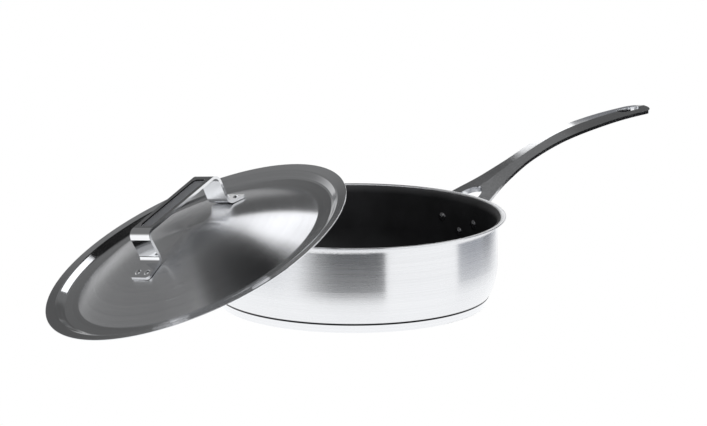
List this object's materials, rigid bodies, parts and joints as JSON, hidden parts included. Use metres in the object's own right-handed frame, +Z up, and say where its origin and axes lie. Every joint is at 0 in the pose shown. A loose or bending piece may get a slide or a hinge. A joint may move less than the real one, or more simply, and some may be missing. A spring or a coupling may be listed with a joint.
{
  "type": "saute pan with lid",
  "caption": "Straight-sided steel saute pan with dark non-stick inside, flared pouring rim, long forked riveted handle and a loose domed steel lid with strap grip leaning on its rim.",
  "frame": {"origin": "centre of the round underside of the pan's base", "axes": "+Z up, +X along the long handle towards its tip"},
  "size_m": [0.6047, 0.3025, 0.1248],
  "materials": {
    "brushed_shell": "brushed around the axis",
    "nonstick": "satin",
    "core_aluminium": "matte",
    "base_steel": "finely turned",
    "polished_handle": "polished",
    "rivet_steel": "polished",
    "lid_steel": "brushed around the axis",
    "polished_grip": "mirror polished",
    "lid_rivet_steel": "polished"
  },
  "bodies": {
    "pan": {"pan_body": "brushed_shell", "nonstick_coating": "nonstick", "base_core": "core_aluminium", "base_cap": "base_steel", "handle": "polished_handle", "handle_rivets": "rivet_steel"},
    "lid": {"lid_disc": "lid_steel", "lid_handle": "polished_grip", "lid_rivets": "lid_rivet_steel"}
  },
  "joints": [
    {"name": "lid_lift", "type": "slide", "parent": "pan", "child": "lid", "axis": [-0.4069, 0.1101, 0.9068], "range_m": [0, 0.2]}
  ]
}
